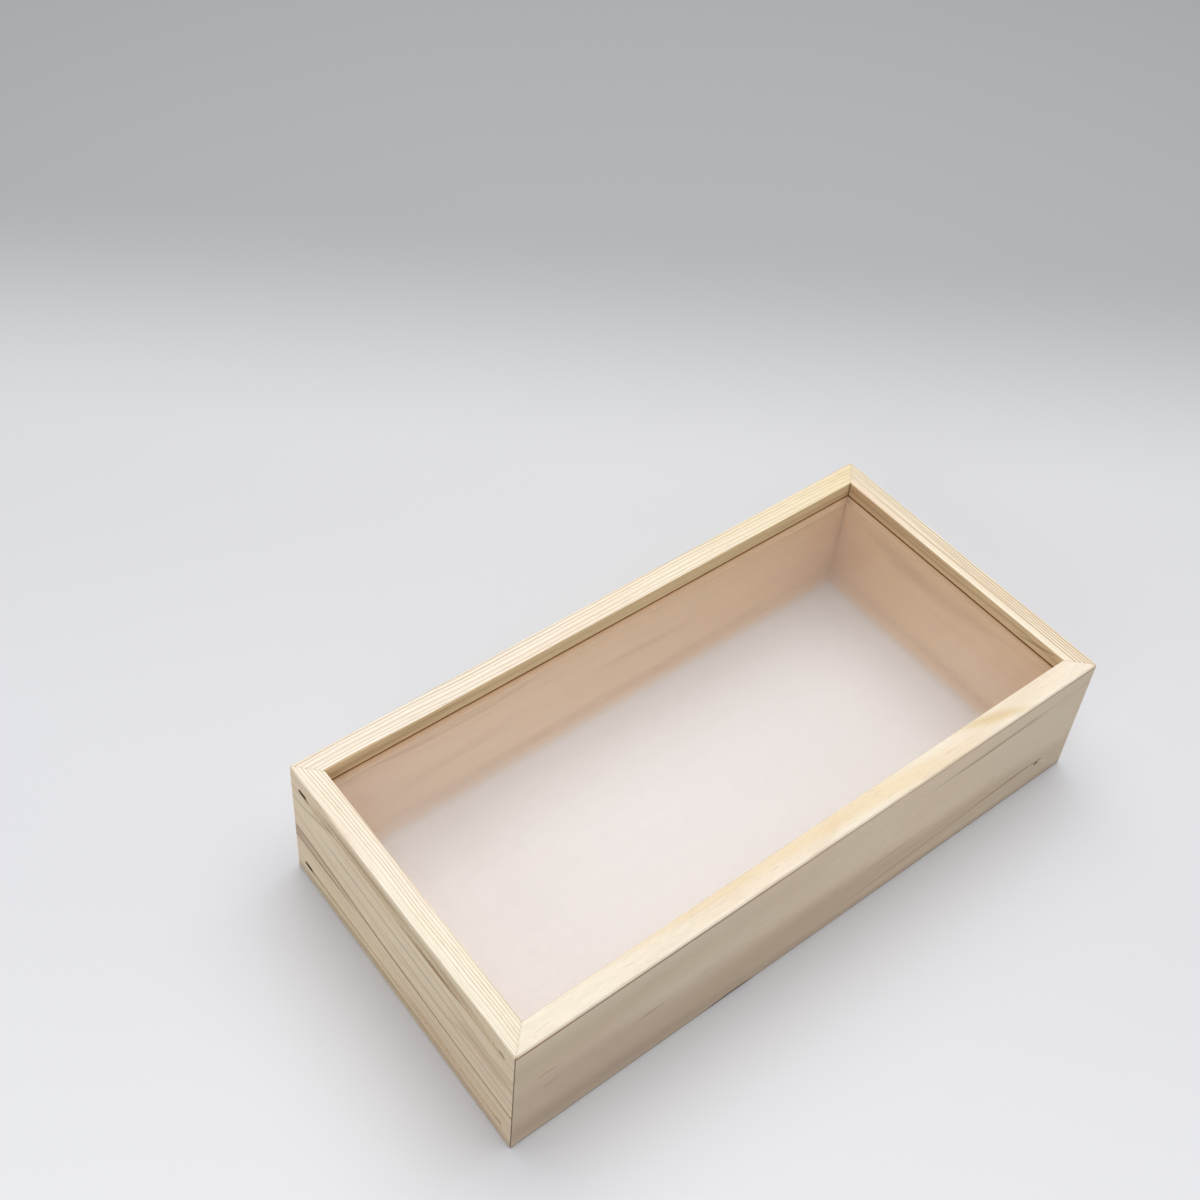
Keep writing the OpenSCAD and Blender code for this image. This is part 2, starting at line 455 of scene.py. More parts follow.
# Where each colour begins and is full, by a, h or the slow hue noise, and its greatest share
zones = {
    "inner": ("a", 9.7, 9.8, 1.0),
    "underArris": ("h", 66.97, 66.87, 1.0),
    "belowTop": ("h", 66.9, 66.4, 1.0),
    "abovePane": ("h", 59.0, 60.0, 1.0),
    "pink": ("hue", 0.45, 0.75, 0.5),
    "olive": ("hue", 0.42, 0.22, 0.4),
}
pineFinish = {
    "streaks": {"fibre": (0.94, 1.05), "cutEnd": (0.92, 1.07)},
    "duct": (0.66, 0.80),
    "ductDark": 0.78,
    "lateProud": 0.5,
    "bump": 0.25,
    "bumpDistance": 0.0002,
    "roughness": (0.66, 0.5),
    "specular": 0.35,
}
boards = {
    "front_board": dict(
        cream="#EADEC9",
        turn=0,
        shift=74,
        ringGap=3.1,
        heart=(27, -150),
        lean=(0.0, 0.030),
        line=(0.12, 0.10),
        seed=11.0,
        marks=[
            # The next three marks are painted shade: the front face darker towards its left end.
            ("outer", "#9C7858", 0.7, [(-150, 24, 26, 0.34), (-110, 22, 25, 0.32), (-80, 18, 23, 0.30),
                (0, 16, 19, 0.26), (60, 15, 16, 0.2), (150, 12, 14, 0.2)]),
            ("outer", shadeGrey, 0.3, [(-150, 34, 60, 0.24), (-80, 36, 60, 0.24), (0, 40, 56, 0.15),
                (60, 44, 56, 0.11), (150, 40, 50, 0.2)]),
            ("outer", "#B7A47C", 1.0, [(-150, 52, 15, 0.5), (-90, 52, 14, 0.3), (-20, 54, 10, 0.1),
                (40, 60, 2, 0)]),
            ("outer", warmTint, 1.0, [(-125, 18, 4, 0), (-80, 18, 12, 0.10), (-50, 18, 15, 0.16),
                (-5, 17, 15, 0.16), (40, 13, 12, 0.08), (80, 12, 8, 0)]),
            ("outer", oliveTint, 1.0, [(-60, 24, 6, 0), (0, 24, 12, 0.12), (60, 18, 11, 0.2),
                (110, 20, 9, 0.14), (135, 20, 6, 0)]),
            # Painted shade: darker along the foot of the face.
            ("outer", "#8A6450", 1.0, [(-150, 8, 12, 0.35), (-80, 6, 10, 0.30), (0, 3, 5, 0.25),
                (150, 2, 4, 0.2)]),
            ("outer", darkLine, 0.8, [(30, 53, 0, 0), (64, 54.4, 0.45, 0.65), (80, 54.3, 0.6, 1),
                (112, 55.2, 0.5, 1), (122, 55.8, 0.35, 0.59), (150, 57, 0.35, 0.45)]),
            ("outer", darkLine, 0.8, [(50, 56.2, 0, 0), (84, 55.8, 0.4, 0.59), (114, 56.6, 0.4, 0.65),
                (126, 57.2, 0, 0)]),
            ("outer", darkLine, 0.9, [(-10, 9.2, 0, 0), (30, 10.4, 1.3, 0.29), (86, 14, 1.1, 0.39),
                (124, 16.8, 0.9, 0.78), (133, 17, 0, 0)]),
            ("outer", "#4A2614", 0.6, [(127.4, 14.6, 0, 0), (129.4, 14.8, 1.5, 0.9), (131.4, 15.6, 1.6, 0.9),
                (133.4, 16.0, 0, 0)]),
            ("outer", "#E6D3B8", 1.0, [(130, 15.0, 0, 0), (134, 12.6, 0.9, 0.6), (142, 8.5, 0.8, 0.3),
                (149, 6, 0, 0)]),
            ("outer", darkLine, 0.9, [(-143, 41, 0, 0), (-136, 41.1, 0.5, 0.78), (-126, 41.2, 0, 0)]),
            ("outer", darkLine, 0.9, [(-96, 32, 0, 0), (-89, 32, 0.5, 1), (-82, 32.6, 0.3, 0.65),
                (-74, 32.6, 0, 0)]),
            ("outer", darkLine, 0.9, [(-69, 34, 0, 0), (-60, 34.2, 0.5, 0.45), (-50, 34.2, 0, 0)]),
            ("outer", darkLine, 0.9, [(-142, 31.8, 0, 0), (-134, 31.8, 0.5, 0.59), (-124, 31.9, 0, 0)]),
            ("outer", darkLine, 0.9, [(22, 24.2, 0, 0), (32, 24.6, 0.5, 0.45), (48, 25.4, 0.5, 0.39),
                (66, 26.6, 0, 0)]),
            # Darker in a thin line just under the top arris.
            ("outer", darkLine, 0.6, [(-150, 66.0, 0.7, 0.9), (-40, 66.0, 0.7, 0.8), (40, 66.0, 0.6, 0.5),
                (150, 66.0, 0.6, 0.6)]),
            # Painted shade: a dark line along the foot, where the board meets the floor.
            ("outer", shadeBrown, 0.6, [(-150, 0.2, 1.2, 0.7), (-60, 0.2, 1.1, 0.7), (-50, 0.3, 1.9, 0.9),
                (-37, 0.3, 2.1, 0.9), (-31, 0.2, 1.1, 0.6), (150, 0.2, 1.2, 0.7)]),
            ("top", "#E0C593", 0.8, [(-130, 10.5, 1.0, 0.2), (-60, 9.0, 3.6, 0.4), (-10, 8.0, 5.2, 0.5),
                (40, 5.4, 6.4, 0.5), (95, 0.4, 5, 0)]),
            ("top", "#CDB070", 1.0, [(66, 11.0, 1, 0), (86, 8.0, 3.8, 0.6), (102, 3.8, 3.6, 0.5),
                (116, 0, 1.5, 0)]),
        ],
    ),
    "back_board": dict(
        cream="#F0E6D5",
        turn=180,
        shift=74,
        ringGap=1.55,
        heart=(70, 34),
        lean=(0.004, -0.004),
        line=(0.85, 0.16),
        seed=23.0,
        marks=[
            # Painted shade: the inner wall darker towards both corners.
            ("inner", "#A86E38", 0.9, [(-150, 28, 42, 0.38), (-132, 28, 42, 0.28), (-108, 30, 40, 0.13),
                (-85, 34, 40, 0.04), (60, 34, 60, 0.04), (110, 34, 60, 0.14), (150, 34, 60, 0.2)]),
            ("inner", "#7E5636", 1.0, [(146, 58, 1.2, 0.2), (108, 52, 1.6, 0.24), (70, 49.8, 1.6, 0.24),
                (45, 51.5, 1.4, 0.16), (20, 55.5, 0, 0)]),
            ("inner", darkLine, 0.9, [(128, 28, 0, 0), (95, 28.5, 0.6, 0.65), (60, 29, 0.6, 0.59),
                (36, 29, 0, 0)]),
            ("inner", darkLine, 0.9, [(120, 31.8, 0, 0), (90, 32, 0.5, 0.45), (52, 33, 0.5, 0.45),
                (30, 33.4, 0, 0)]),
            ("inner", darkLine, 0.9, [(16, 33, 0, 0), (0, 33.2, 0.6, 0.59), (-30, 32.4, 0.6, 0.65),
                (-58, 32, 0, 0)]),
            ("inner", darkLine, 0.9, [(-4, 30.6, 0, 0), (-20, 30.4, 0.5, 0.39), (-48, 29.8, 0.5, 0.45),
                (-64, 29.6, 0, 0)]),
            # Painted shade: a darker band on the lip, strongest at the corners.
            ("inner", "#8E6A3C", 1.0, [(150, 62.4, 2.6, 0.5), (96, 62.8, 2.2, 0.3), (60, 63.6, 1.2, 0.15),
                (-60, 61.5, 1.3, 0.12), (-110, 61.6, 2.0, 0.18), (-150, 61.0, 2, 0.3)]),
            ("inner", "#7C5A34", 1.0, [(118, 65.6, 0, 0), (104, 64.8, 0.5, 0.5), (82, 64.6, 0.5, 0.5),
                (62, 65.6, 0, 0)]),
            ("top", "#DFC994", 0.3, [(30, 5, 9, 0), (-40, 5, 9, 0.2), (-100, 5, 9, 0.42),
                (-150, 5, 9, 0.56)]),
        ],
    ),
    "slotted_end_board": dict(
        cream="#F2E8D5",
        turn=90,
        shift=150,
        ringGap=1.15,
        heart=(62, 42),
        lean=(-0.003, 0.02),
        line=(0.35, 0.78),
        seed=37.0,
        marks=[
            ("outer", darkLine, 0.7, [(-74, 29.6, 1.1, 0.78), (-54, 29, 1, 1), (-29, 27.1, 0.9, 0.91),
                (-14, 25.6, 1, 1), (26, 24, 0.8, 1), (74, 23, 0.7, 1)]),
            ("outer", darkLine, 0.7, [(-74, 23.6, 1, 0.78), (-50, 23.9, 1, 1), (-38, 24.2, 0.7, 0.78),
                (-18, 25.2, 0.3, 0.39), (-10, 25.4, 0, 0)]),
            ("outer", "#8F6E54", 1.0, [(-74, 26.6, 4.2, 0.7), (-55, 26.3, 3.2, 0.4), (-35, 25.9, 1.8, 0.3),
                (-15, 25.4, 0, 0)]),
            ("outer", greyLine, 1.0, [(-68, 44.6, 0, 0), (-40, 44.7, 1.5, 0.45), (-18, 44.2, 1.3, 0.5),
                (18, 43.8, 1.6, 0.5), (74, 42.4, 1.2, 0.4)]),
            ("outer", greyLine, 1.0, [(-20, 36.4, 0, 0), (0, 35.6, 1.3, 0.35), (40, 34.6, 1.3, 0.4),
                (74, 33.8, 1.2, 0.4)]),
            ("outer", oliveTint, 1.0, [(-62, 60.5, 0, 0), (-46, 61.0, 3.4, 0.6), (-8, 61.2, 3.8, 0.75),
                (12, 61.8, 3.0, 0.5), (38, 62.0, 2.8, 0.5), (66, 61.0, 0, 0)]),
            ("outer", warmTint, 1.0, [(16, 59.5, 0, 0), (34, 59.6, 2.8, 0.55), (50, 59.2, 3.0, 0.6),
                (66, 59.0, 1.8, 0.5), (72, 59, 0, 0)]),
            ("outer", oliveTint, 1.0, [(-74, 49.0, 1.6, 0.3), (-60, 51.6, 1.8, 0.5), (-48, 55.8, 2.0, 0.45),
                (-36, 58.4, 0, 0)]),
            ("outer", darkLine, 1.0, [(-32, 55.9, 0, 0), (0, 55.6, 0.8, 0.52), (14, 56, 1.0, 0.8),
                (34, 56.1, 1.0, 0.8), (46, 56.4, 0, 0)]),
            ("outer", warmTint, 1.0, [(-10, 12.6, 0, 0), (15, 12.2, 2.2, 0.45), (40, 11.4, 2.0, 0.3),
                (70, 10, 0, 0)]),
            ("outer", darkLine, 1.0, [(-30, 19.2, 0, 0), (0, 18.6, 0.5, 0.33), (74, 17, 0.5, 0.39)]),
            ("outer", darkLine, 1.0, [(-10, 16, 0, 0), (30, 15.2, 0.5, 0.39), (74, 14.2, 0.5, 0.39)]),
            ("outer", oliveTint, 1.0, [(-74, 3, 3.0, 0.36), (0, 4, 3.5, 0.45), (74, 3, 3.0, 0.2)]),
            ("outer", darkLine, 1.0, [(-74, 4.6, 0.4, 0.39), (0, 5.4, 0.5, 0.59), (74, 4.2, 0.5, 0.59)]),
            ("outer", darkLine, 1.0, [(-74, 2.2, 0.4, 0.39), (0, 2.8, 0.5, 0.52), (74, 2, 0.5, 0.52)]),
            # Painted shade: the face darker towards its near corner.
            ("outer", "#8E7C6A", 0.3, [(-20, 34, 60, 0), (20, 34, 60, 0.05), (50, 34, 60, 0.12),
                (74, 34, 60, 0.16)]),
            # Painted shade: a dark line along the foot, where the board meets the floor.
            ("outer", shadeBrown, 0.6, [(-74, 0.0, 0.9, 0.5), (0, 0.0, 0.8, 0.5), (74, 0.0, 0.9, 0.6)]),
        ],
    ),
    "closed_end_board": dict(
        cream="#EDE2CB",
        turn=-90,
        shift=150,
        ringGap=1.45,
        heart=(66, 46),
        lean=(0.006, 0.01),
        line=(0.35, 0.18),
        seed=53.0,
        marks=[
            # Painted shade: the inner wall darker towards the corners, most at l = 74.
            ("inner", "#A86E38", 0.9, [(74, 26, 42, 0.62), (58, 26, 42, 0.38), (40, 30, 38, 0.2),
                (10, 36, 34, 0.08), (-30, 40, 30, 0.06), (-74, 40, 30, 0.12)]),
            # Painted light: paler and pinker low on the wall towards l = -74.
            ("inner", "#F4DCD0", 0.9, [(-74, 16, 22, 0.34), (-20, 18, 24, 0.22), (20, 20, 24, 0)]),
            ("inner", "#9C6A3C", 1.0, [(62, 50, 0, 0), (38, 48, 6.5, 0.25), (0, 46, 8.0, 0.32),
                (-26, 50, 4.5, 0.2), (-44, 52, 0, 0)]),
            ("inner", "#C9B596", 1.0, [(-8, 11.2, 0, 0), (-20, 11.2, 0.7, 0.5), (-38, 11.0, 0, 0)]),
            # Painted shade: the lip browner towards the corner at l = 74.
            ("inner", "#A0602C", 0.6, [(74, 63.5, 5, 0.42), (30, 63.5, 5, 0.24), (0, 63.0, 4, 0.14),
                (-64, 62.5, 4, 0.05)]),
            ("inner", "#8E6434", 1.0, [(64, 63.0, 1.6, 0.4), (0, 62.6, 1.6, 0.3), (-40, 64.0, 1.2, 0.35),
                (-64, 62.5, 1.2, 0.3)]),
            ("inner", "#6E4A28", 1.0, [(56, 65.0, 0, 0), (30, 64.6, 0.5, 0.45), (-6, 65.2, 0.5, 0.4),
                (-20, 65.6, 0, 0)]),
            ("inner", "#7C5430", 1.0, [(-34, 61.0, 0, 0), (-46, 62.2, 0.9, 0.5), (-58, 65.0, 0.9, 0.5),
                (-64, 66.4, 0, 0)]),
            ("top", topLine, 0.9, [(-74, 6.6, 0.48, 0.75), (-30, 6.2, 0.56, 0.8), (20, 6.5, 0.56, 0.8),
                (74, 6.2, 0.48, 0.75)]),
            ("top", topLine, 0.9, [(-74, 5.0, 0.48, 0.7), (-20, 5.1, 0.48, 0.75), (30, 4.8, 0.48, 0.4),
                (74, 5.0, 0.48, 0.75)]),
            ("top", topLine, 0.9, [(-74, 3.6, 0.48, 0.75), (-10, 3.9, 0.48, 0.75), (40, 3.7, 0.48, 0.8),
                (74, 3.8, 0.48, 0.75)]),
            ("top", topLine, 0.9, [(-74, 2.5, 0.46, 0.7), (0, 2.7, 0.48, 0.8), (74, 2.5, 0.48, 0.75)]),
            ("top", topLine, 0.9, [(-74, 1.2, 0.48, 0.85), (0, 1.4, 0.48, 0.9), (74, 1.2, 0.48, 0.85)]),
        ],
    ),
}


# Damage, as pits cut out: a small loose knot with a torn tail, a bruise under the front, a lost splinter
pits = {
    "front_board": [
        dict(middle=(130.6, -74.0, 15.2), radii=(2.5, 0.9, 1.1), lean=24, seed=3),
        dict(middle=(126.6, -74.0, 16.4), radii=(3.6, 0.3, 0.34), lean=-10, seed=5),
        dict(middle=(-42.5, -74.0, 0.0), radii=(9.5, 0.55, 0.6), lean=0, seed=7),
    ],
    "back_board": [dict(middle=(-32.0, 64.0, 67.0), radii=(1.1, 0.5, 0.4), lean=4, seed=9)],
}


# Which points a face's marks keep to, by a outside and inside and by h on top
faceTests = {
    "outer": ("Y", "LESS_THAN", 0.9),
    "inner": ("Y", "GREATER_THAN", 9.1),
    "top": ("Z", "GREATER_THAN", 66.1),
}
markSpan = 70.0  # mm that 0 to 1 stands for in a mark's ramp


def addMark(tree, spot, fibre, under, mark):
    # Colour under, stained where |coordinate - middle(l)| < half width(l), by strength(l); a ramp holds the
    # three as red = middle / markSpan, green = half width / markSpan, blue = strength
    face, colour, soft, rows = mark[0], mark[1], mark[2], sorted(mark[3])
    first, last = rows[0][0], rows[-1][0]
    share = addNode(tree, "MapRange", {"Value": spot.outputs["X"], "From Min": first, "From Max": last})
    course = addNode(tree, "ValToRGB", {"Fac": share})
    fillRamp(course.color_ramp, "CARDINAL", [
        ((along - first) / (last - first), (middle / markSpan, half / markSpan, strength, 1))
        for along, middle, half, strength in rows
    ])
    held = addNode(tree, "SeparateColor", {0: course})
    middle = addNode(tree, "Math", {0: held, 1: markSpan}, operation="MULTIPLY")
    half = addNode(tree, "Math", {0: held.outputs[1], 1: markSpan}, operation="MULTIPLY")
    core = addNode(tree, "Math", {0: half, 1: 1 - soft}, operation="MULTIPLY")
    across = spot.outputs["Y" if face == "top" else "Z"]
    off = addNode(tree, "Math", {0: across, 1: middle}, operation="SUBTRACT")
    gap = addNode(tree, "Math", {0: off}, operation="ABSOLUTE")
    bounds = {"Value": gap, "From Min": half, "From Max": core}
    inside = addNode(tree, "MapRange", bounds, interpolation_type="SMOOTHSTEP")
    depth, test, limit = faceTests[face]
    onFace = addNode(tree, "Math", {0: spot.outputs[depth], 1: limit}, operation=test)
    patchy = addNode(tree, "MapRange", {"Value": fibre, "From Min": 0.3, "From Max": 0.6, "To Min": 0.7})
    strong = addNode(tree, "Math", {0: inside, 1: held.outputs[2]}, operation="MULTIPLY")
    here = addNode(tree, "Math", {0: strong, 1: onFace}, operation="MULTIPLY")
    amount = addNode(tree, "Math", {0: here, 1: patchy}, operation="MULTIPLY")
    return addNode(tree, "Mix", {0: amount, 6: under, 7: linearColour(colour)}, data_type="RGBA").outputs[2]


# Painted shade on the groove walls above each pane, as windows (middle, half width) in mm: depth for a, level
# for h from the groove's middle. In the slots' far ends, where l is below farEnd and no pane fills them, the
# whole wall gets the painted shade.
grooveShade = {
    "depth": (5.1, 4.6),
    "level": (1.3, 0.7),
    "bottomShare": 0.1,
    "slotDepth": (3.2, 2.9),
    "slotLevel": 1.8,
    "farEnd": -61.0,
    "strength": 0.9,
}


def addGrooveShade(tree, spot, under, slotted):
    # Colour under, darkened by painted shade where a point is inside both windows
    l, a, h = spot.outputs
    deep = addNode(tree, "Math", {0: a, 1: grooveShade["depth"][0], 2: grooveShade["depth"][1]}, operation="COMPARE")
    above, half = grooveShade["level"]
    bottom, top = [
        addNode(tree, "Math", {0: h, 1: middle + above, 2: half}, operation="COMPARE")
        for middle in case["grooveMiddles"]
    ]
    either = addNode(tree, "Math", {0: bottom, 1: grooveShade["bottomShare"], 2: top}, operation="MULTIPLY_ADD")
    here = addNode(tree, "Math", {0: deep, 1: either}, operation="MULTIPLY")
    if slotted:
        middle, half = grooveShade["slotDepth"]
        mouth = addNode(tree, "Math", {0: a, 1: middle, 2: half}, operation="COMPARE")
        farEnd = addNode(tree, "Math", {0: l, 1: grooveShade["farEnd"]}, operation="LESS_THAN")
        mouth = addNode(tree, "Math", {0: mouth, 1: farEnd}, operation="MULTIPLY")
        for middle in case["grooveMiddles"]:
            level = addNode(tree, "Math", {0: h, 1: middle, 2: grooveShade["slotLevel"]}, operation="COMPARE")
            wall = addNode(tree, "Math", {0: level, 1: mouth}, operation="MULTIPLY")
            here = addNode(tree, "Math", {0: here, 1: wall}, operation="MAXIMUM")
    amount = addNode(tree, "Math", {0: here, 1: grooveShade["strength"]}, operation="MULTIPLY")
    return addNode(tree, "Mix", {0: amount, 6: under, 7: linearColour(shadeBrown)}, data_type="RGBA").outputs[2]


# Glue at the mitres, in mm: it fades out between the two reaches, is strong on the upright corners, where a
# is under outside, and at the inner lip's corners, and faint elsewhere
glueLook = {
    "reach": (0.42, 0.14),
    "outside": (0.8, 1.2),
    "strength": (0.9, 0.12),
    "lip": (63.2, 3.4),
    "lipDepth": 9.8,
    "lipStrength": 0.7,
    "top": (66.2, 66.7),
}


def addGlueLine(tree, spot, fibre, under, half):
    # Colour under, stained by gap = half length - |l| - a, the distance from the mitre
    l, a, h = spot.outputs
    along = addNode(tree, "Math", {0: l}, operation="ABSOLUTE")
    reach = addNode(tree, "Math", {0: along, 1: a}, operation="ADD")
    gap = addNode(tree, "Math", {0: half, 1: reach}, operation="SUBTRACT")
    far, near = glueLook["reach"]
    close = addNode(tree, "MapRange", {"Value": gap, "From Min": far, "From Max": near})
    strong, faint = glueLook["strength"]
    begins, ends = glueLook["outside"]
    corner = {"Value": a, "From Min": begins, "From Max": ends, "To Min": strong, "To Max": faint}
    outside = addNode(tree, "MapRange", corner)
    begins, ends = glueLook["top"]
    belowTop = {"Value": h, "From Min": begins, "From Max": ends, "To Min": outside, "To Max": faint}
    sides = addNode(tree, "MapRange", belowTop)
    lip = addNode(tree, "Math", {0: h, 1: glueLook["lip"][0], 2: glueLook["lip"][1]}, operation="COMPARE")
    inner = addNode(tree, "Math", {0: a, 1: glueLook["lipDepth"]}, operation="GREATER_THAN")
    atLip = addNode(tree, "Math", {0: lip, 1: inner}, operation="MULTIPLY")
    lipShare = addNode(tree, "Math", {0: atLip, 1: glueLook["lipStrength"]}, operation="MULTIPLY")
    either = addNode(tree, "Math", {0: sides, 1: lipShare}, operation="MAXIMUM")
    patchy = addNode(tree, "MapRange", {"Value": fibre, "From Min": 0.3, "From Max": 0.55, "To Min": 0.7})
    some = addNode(tree, "Math", {0: close, 1: either}, operation="MULTIPLY")
    amount = addNode(tree, "Math", {0: some, 1: patchy}, operation="MULTIPLY")
    return addNode(tree, "Mix", {0: amount, 6: under, 7: linearColour(glue)}, data_type="RGBA").outputs[2]


def barePine(name, board):
    # Ring number = distance from the tree's heart line / ring gap, wobbled by slow noise
    material, tree = newMaterial("bare_pine_" + name)
    seed = board["seed"]
    inBoard = addNode(tree, "Mapping", {
        "Vector": addNode(tree, "TexCoord").outputs["Object"],
        "Scale": (1000, 1000, 1000),
        "Rotation": (0, 0, math.radians(board["turn"])),
        "Location": (0, board["shift"], 0),
    })
    spot = addNode(tree, "SeparateXYZ", {0: inBoard})
    noise = {}
    for kind, (scales, offsets, detail, roughness) in grain.items():
        offset = [seed * share for share in offsets]
        at = addNode(tree, "Mapping", {"Vector": inBoard, "Scale": scales, "Location": offset})
        texture = {"Vector": at, "Scale": 1.0, "Detail": detail, "Roughness": roughness}
        noise[kind] = addNode(tree, "TexNoise", texture)
    about = {0: noise["bend"].outputs["Color"], 1: (0.5, 0.5, 0.5)}
    bend = addNode(tree, "VectorMath", about, operation="SUBTRACT")
    bendBy = addNode(tree, "VectorMath", {0: bend, "Scale": lateWood["bend"]}, operation="SCALE")
    wobbled = addNode(tree, "VectorMath", {0: inBoard, 1: bendBy}, operation="ADD")
    fromHeart = addNode(tree, "Mapping", {
        "Vector": wobbled,
        "Rotation": (0, -board["lean"][1], board["lean"][0]),
        "Location": (0, -board["heart"][0], -board["heart"][1]),
    })
    perGap = (0, 1 / board["ringGap"], 1 / board["ringGap"])
    flat = addNode(tree, "VectorMath", {0: fromHeart, 1: perGap}, operation="MULTIPLY")
    rings = addNode(tree, "VectorMath", {0: flat}, operation="LENGTH").outputs["Value"]
    uneven = addNode(tree, "TexNoise", {"W": rings, "Scale": 0.6, "Detail": 1.0}, noise_dimensions="1D")
    ring = addNode(tree, "Math", {0: uneven, 1: lateWood["uneven"], 2: rings}, operation="MULTIPLY_ADD")
    part = addNode(tree, "Math", {0: ring}, operation="FRACT")
    number = addNode(tree, "Math", {0: ring}, operation="FLOOR")
    chance = addNode(tree, "TexWhiteNoise", {"W": number}, noise_dimensions="1D")
    late = addNode(tree, "ValToRGB", {"Fac": part})
    fillRamp(late.color_ramp, "EASE", [(at, (grey, grey, grey, 1)) for at, grey in lateWood["stops"]])
    weak, strong = lateWood["strength"]
    weight = addNode(tree, "MapRange", {"Value": chance, "To Min": weak, "To Max": strong})
    lateLine = addNode(tree, "Math", {0: late, 1: weight}, operation="MULTIPLY")

    measures = {"a": spot.outputs["Y"], "h": spot.outputs["Z"], "hue": noise["hue"]}
    share = {}
    for zone, (measure, begins, full, most) in zones.items():
        bounds = {"Value": measures[measure], "From Min": begins, "From Max": full, "To Max": most}
        share[zone] = addNode(tree, "MapRange", bounds)
    tanShare = addNode(tree, "Math", {0: share["inner"], 1: share["underArris"]}, operation="MULTIPLY")
    low, high = board["line"]
    onFaces, (begins, ends) = (spot.outputs["Y"], lateWood["fade"]) if low < high else (tanShare, (0.0, 1.0))
    faceLine = addNode(tree, "MapRange", {
        "Value": onFaces, "From Min": begins, "From Max": ends, "To Min": low, "To Max": high,
    })
    lateShare = addNode(tree, "Math", {0: lateLine, 1: faceLine}, operation="MULTIPLY")

    # Outside: side faces are a little browner than the tops, painted shade for faces turned from the light.
    # Inside: a painted tan shade, more so below the top pane, for light bounced about between the boards.
    colours = {key: linearColour(value) for key, value in pineColours.items()}
    outside = linearColour(board["cream"])
    for zone, tint in (("belowTop", "side"), ("pink", "pink"), ("olive", "olive")):
        mixed = addNode(tree, "Mix", {0: share[zone], 6: outside, 7: colours[tint]}, data_type="RGBA")
        outside = mixed.outputs[2]
    inside = {0: share["abovePane"], 6: colours["inside"], 7: colours["lip"]}
    tan = addNode(tree, "Mix", inside, data_type="RGBA").outputs[2]
    ground = addNode(tree, "Mix", {0: tanShare, 6: outside, 7: tan}, data_type="RGBA").outputs[2]
    ringed = {0: lateShare, 6: ground, 7: colours["late"]}
    stained = addNode(tree, "Mix", ringed, data_type="RGBA").outputs[2]
    for mark in board["marks"]:
        stained = addMark(tree, spot, noise["fibre"], stained, mark)
    # Painted shade in the grooves and in the slots' far ends
    stained = addGrooveShade(tree, spot, stained, name == "slotted_end_board")
    half = case["length" if board["turn"] % 180 == 0 else "width"] / 2
    stained = addGlueLine(tree, spot, noise["fibre"], stained, half)

    streaks = [
        addNode(tree, "MapRange", {
            "Value": noise[kind], "From Min": 0.25, "From Max": 0.75, "To Min": low, "To Max": high,
        })
        for kind, (low, high) in pineFinish["streaks"].items()
    ]
    begins, ends = pineFinish["duct"]
    dashes = {"Value": noise["duct"], "From Min": begins, "From Max": ends}
    ducts = addNode(tree, "MapRange", dashes, interpolation_type="SMOOTHSTEP")
    ductDark = addNode(tree, "MapRange", {"Value": ducts, "To Min": 1.0, "To Max": pineFinish["ductDark"]})
    fibres = addNode(tree, "Math", {0: streaks[0], 1: streaks[1]}, operation="MULTIPLY")
    shade = addNode(tree, "Math", {0: fibres, 1: ductDark}, operation="MULTIPLY")
    colour = addNode(tree, "VectorMath", {0: stained, "Scale": shade}, operation="SCALE")

    # Sanding leaves late wood a little proud and shinier than early wood
    proud = {0: lateLine, 1: pineFinish["lateProud"], 2: noise["fibre"]}
    height = addNode(tree, "Math", proud, operation="MULTIPLY_ADD")
    bump = addNode(tree, "Bump", {
        "Height": height, "Strength": pineFinish["bump"], "Distance": pineFinish["bumpDistance"],
    })
    matt, silky = pineFinish["roughness"]
    rough = addNode(tree, "MapRange", {
        "Value": height, "From Min": 0.2, "From Max": 1.2, "To Min": matt, "To Max": silky,
    })
    surface = addNode(tree, "BsdfPrincipled", {
        "Base Color": colour,
        "Roughness": rough,
        "Normal": bump,
        "Specular IOR Level": pineFinish["specular"],
    })
    addNode(tree, "OutputMaterial", {"Surface": surface})
    return material


def place(item, body, slot, node):
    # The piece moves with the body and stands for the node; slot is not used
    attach(item, body)
    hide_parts(node)


for name, board in boards.items():
    item = mitredBoard(name.replace("_board", "_pine"), board)
    if name == "slotted_end_board":
        for middle in case["grooveMiddles"]:
            carve(item, slotCutter(middle, int(middle)))
    for pit in pits.get(name, []):
        carve(item, pitCutter(pit))
    giveMaterial(item, barePine(name, board))
    place(item, "case", "long_boards" if board["turn"] % 180 == 0 else "end_boards", name)
print("boards finished")


